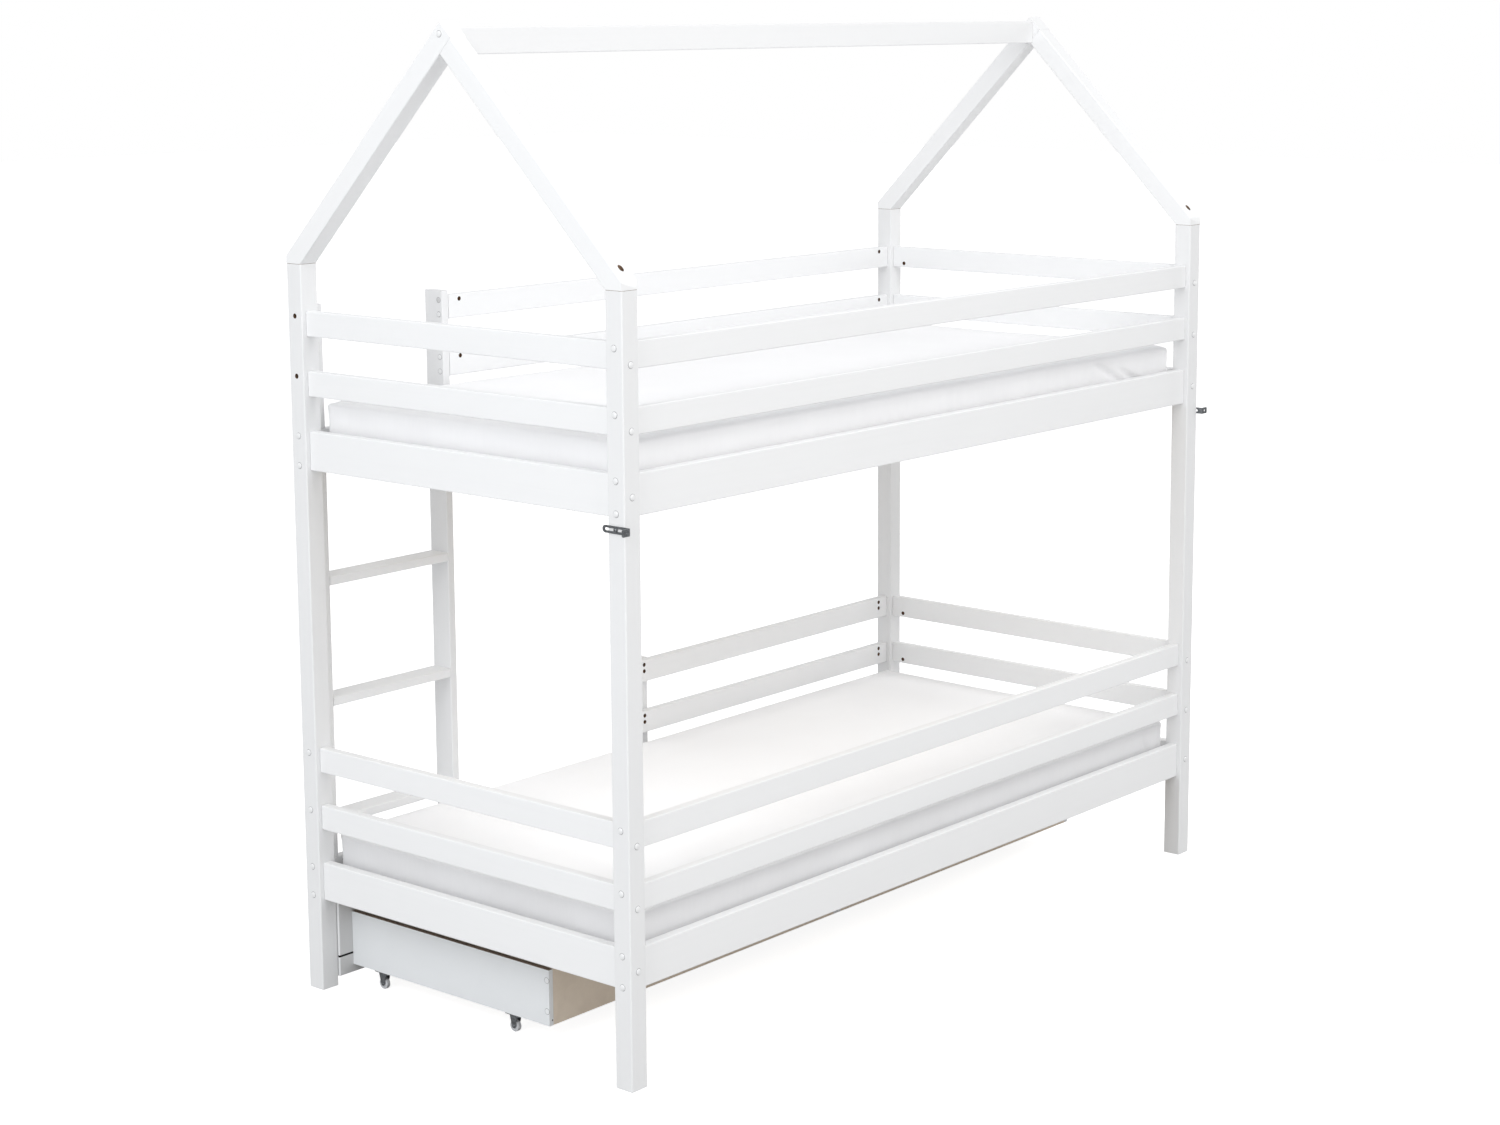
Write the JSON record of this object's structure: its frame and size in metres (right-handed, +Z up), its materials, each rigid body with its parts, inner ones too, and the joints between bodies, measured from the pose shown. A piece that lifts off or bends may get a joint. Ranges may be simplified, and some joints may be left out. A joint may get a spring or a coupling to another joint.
{
  "type": "bunk bed with drawers",
  "caption": "White wooden bunk bed with a house-shaped roof frame, a fixed end ladder, guard boards, mattresses and roll-out drawers on castors.",
  "frame": {"origin": "middle of the footprint on the floor, between the ladder's outer face and the wall plane", "axes": "+X along the bed towards the end with the ladder, +Y towards the wall, +Z up; the drawers roll out towards -Y"},
  "size_m": [2.1152, 1.0076, 2.0976],
  "materials": {
    "white_painted_wood": "satin white lacquer",
    "plain_wood": "planed, untreated",
    "drawer_side_board": "satin grey-white foil",
    "drawer_board": "matt hardboard",
    "mattress_fabric": "soft knitted cover",
    "zinc_steel": "blue-grey zinc plated",
    "wheel_plastic": "light grey moulded"
  },
  "bodies": {
    "bed": {"post_front_right": "white_painted_wood", "post_back_right": "white_painted_wood", "post_back_left": "white_painted_wood", "post_front_left": "white_painted_wood", "lower_rail_front": "white_painted_wood", "lower_guard_front_low": "white_painted_wood", "lower_guard_front_top": "white_painted_wood", "lower_rail_back": "white_painted_wood", "lower_guard_back_low": "white_painted_wood", "lower_guard_back_top": "white_painted_wood", "lower_rail_left": "white_painted_wood", "lower_guard_left_low": "white_painted_wood", "lower_guard_left_top": "white_painted_wood", "lower_rail_right": "white_painted_wood", "lower_guard_right_low": "white_painted_wood", "lower_guard_right_top": "white_painted_wood", "upper_rail_front": "white_painted_wood", "upper_guard_front_low": "white_painted_wood", "upper_guard_front_top": "white_painted_wood", "upper_rail_back": "white_painted_wood", "upper_guard_back_low": "white_painted_wood", "upper_guard_back_top": "white_painted_wood", "upper_rail_left": "white_painted_wood", "upper_guard_left_low": "white_painted_wood", "upper_guard_left_top": "white_painted_wood", "upper_rail_right": "white_painted_wood", "upper_guard_right_low": "white_painted_wood", "upper_guard_right_top": "white_painted_wood", "lower_guard_upright": "white_painted_wood", "ladder_stile": "white_painted_wood", "ladder_stile_with_rungs": "white_painted_wood", "rafter_front_left": "white_painted_wood", "rafter_front_right": "white_painted_wood", "rafter_back_left": "white_painted_wood", "rafter_back_right": "white_painted_wood", "ridge_beam": "white_painted_wood", "lower_slatted_base": "plain_wood", "lower_mattress": "mattress_fabric", "upper_slatted_base": "plain_wood", "upper_mattress": "mattress_fabric", "wall_bracket_left": "zinc_steel", "wall_bracket_right": "zinc_steel"},
    "left_drawer": {"left_drawer_front": "white_painted_wood", "left_drawer_outer_side": "drawer_side_board", "left_drawer_inner_side": "drawer_side_board", "left_drawer_back": "drawer_board", "left_drawer_bottom": "drawer_board"},
    "left_wheel_1": {"left_drawer_wheel_1": "wheel_plastic"},
    "left_wheel_2": {"left_drawer_wheel_2": "wheel_plastic"},
    "left_wheel_3": {"left_drawer_wheel_3": "wheel_plastic"},
    "left_wheel_4": {"left_drawer_wheel_4": "wheel_plastic"},
    "right_drawer": {"right_drawer_front": "white_painted_wood", "right_drawer_outer_side": "drawer_side_board", "right_drawer_inner_side": "drawer_side_board", "right_drawer_back": "drawer_board", "right_drawer_bottom": "drawer_board"},
    "right_wheel_1": {"right_drawer_wheel_1": "wheel_plastic"},
    "right_wheel_2": {"right_drawer_wheel_2": "wheel_plastic"},
    "right_wheel_3": {"right_drawer_wheel_3": "wheel_plastic"},
    "right_wheel_4": {"right_drawer_wheel_4": "wheel_plastic"}
  },
  "joints": [
    {"name": "left_drawer_slide", "type": "slide", "parent": "bed", "child": "left_drawer", "axis": [0, -1, 0], "range_m": [0, 0.65]},
    {"name": "left_wheel_1_roll", "type": "hinge", "parent": "left_drawer", "child": "left_wheel_1", "pos_m": [-0.0113, -0.34125, 0.0125], "axis": [1, 0, 0], "continuous": true},
    {"name": "left_wheel_2_roll", "type": "hinge", "parent": "left_drawer", "child": "left_wheel_2", "pos_m": [-0.0113, 0.06575, 0.0125], "axis": [1, 0, 0], "continuous": true},
    {"name": "left_wheel_3_roll", "type": "hinge", "parent": "left_drawer", "child": "left_wheel_3", "pos_m": [-0.94, -0.34125, 0.0125], "axis": [1, 0, 0], "continuous": true},
    {"name": "left_wheel_4_roll", "type": "hinge", "parent": "left_drawer", "child": "left_wheel_4", "pos_m": [-0.94, 0.06575, 0.0125], "axis": [1, 0, 0], "continuous": true},
    {"name": "right_drawer_slide", "type": "slide", "parent": "bed", "child": "right_drawer", "axis": [0, -1, 0], "range_m": [0, 0.65]},
    {"name": "right_wheel_1_roll", "type": "hinge", "parent": "right_drawer", "child": "right_wheel_1", "pos_m": [0.0113, -0.34125, 0.0125], "axis": [1, 0, 0], "continuous": true},
    {"name": "right_wheel_2_roll", "type": "hinge", "parent": "right_drawer", "child": "right_wheel_2", "pos_m": [0.0113, 0.06575, 0.0125], "axis": [1, 0, 0], "continuous": true},
    {"name": "right_wheel_3_roll", "type": "hinge", "parent": "right_drawer", "child": "right_wheel_3", "pos_m": [0.94, -0.34125, 0.0125], "axis": [1, 0, 0], "continuous": true},
    {"name": "right_wheel_4_roll", "type": "hinge", "parent": "right_drawer", "child": "right_wheel_4", "pos_m": [0.94, 0.06575, 0.0125], "axis": [1, 0, 0], "continuous": true}
  ]
}
